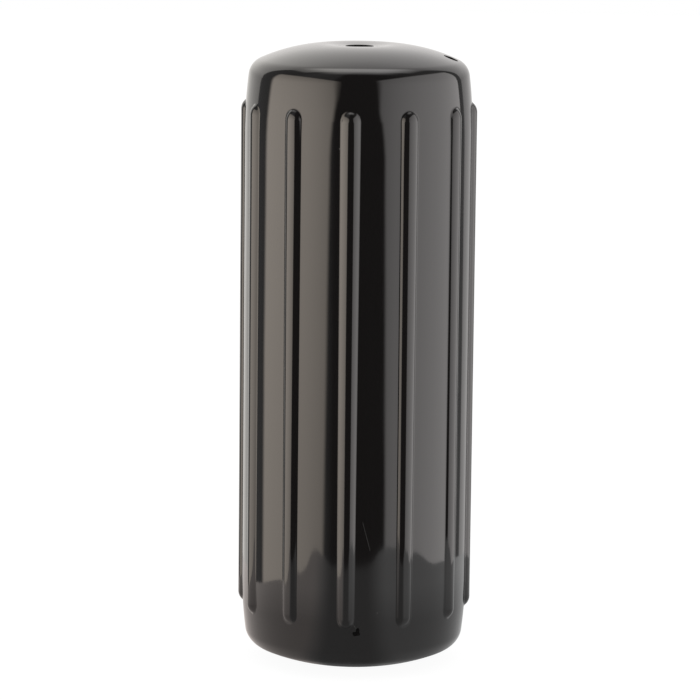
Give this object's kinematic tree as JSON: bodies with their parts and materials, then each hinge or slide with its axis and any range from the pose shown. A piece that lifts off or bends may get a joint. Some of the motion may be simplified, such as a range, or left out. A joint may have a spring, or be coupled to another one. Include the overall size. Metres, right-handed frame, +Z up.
{
  "type": "pneumatic boat fender",
  "caption": "Upright cylindrical inflatable boat fender of glossy black vinyl, with lengthwise ribs, domed ends, a rope tube through its middle and an inflation valve.",
  "frame": {"origin": "middle of the lower end, at the height of the flat ring that the fender stands on", "axes": "+Z up along the rope tube, towards the end with the valve; one rib faces -Y and the valve lies towards +X"},
  "size_m": [0.25, 0.25, 0.661],
  "materials": {
    "black_vinyl": "glossy moulded soft vinyl",
    "valve_rubber": "dull black moulded rubber"
  },
  "bodies": {
    "root": {"fender_body": "black_vinyl", "inflation_valve": "valve_rubber"}
  },
  "joints": []
}
